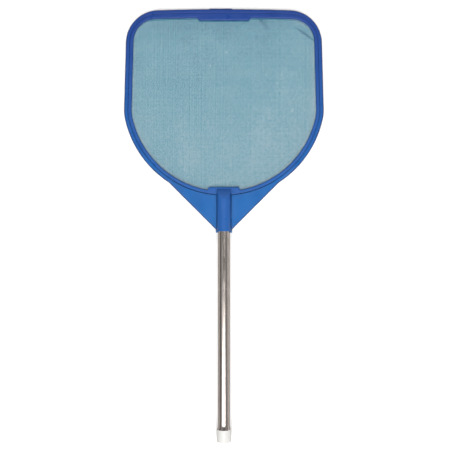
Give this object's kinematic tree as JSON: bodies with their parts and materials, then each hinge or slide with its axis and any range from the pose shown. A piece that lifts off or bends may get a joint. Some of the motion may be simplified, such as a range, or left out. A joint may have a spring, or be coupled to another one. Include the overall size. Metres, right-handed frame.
{
  "type": "leaf skimmer net",
  "caption": "Hand-held leaf skimmer: a flat D-shaped moulded frame clamps a fine woven mesh and tapers through two webs into a socket for a short aluminium pole with a plastic end cap.",
  "frame": {"origin": "under the middle of the whole object, on the plane that the frame's flat back rests on", "axes": "+Z is the way the net's front faces, +Y runs along the pole's axis from its end cap to the head, +X to the right seen from the front with the head up"},
  "size_m": [0.3258, 0.707, 0.0244],
  "materials": {
    "frame_plastic": "satin moulded polypropylene, blue",
    "net_fabric": "open plain weave of pale teal nylon thread",
    "screw_steel": "zinc plated",
    "pole_aluminium": "drawn along its length, semi-bright",
    "cap_plastic": "white, soft sheen"
  },
  "bodies": {
    "head": {"rear_frame": "frame_plastic", "front_frame": "frame_plastic", "net_mesh": "net_fabric", "frame_screws": "screw_steel"},
    "pole": {"pole_tube": "pole_aluminium"},
    "end_cap": {"pole_end_cap": "cap_plastic"}
  },
  "joints": [
    {"name": "pole_slide", "type": "slide", "parent": "head", "child": "pole", "axis": [0, -1, 0], "range_m": [0, 0.06]},
    {"name": "cap_slide", "type": "slide", "parent": "pole", "child": "end_cap", "axis": [0, -1, 0], "range_m": [0, 0.03]}
  ]
}
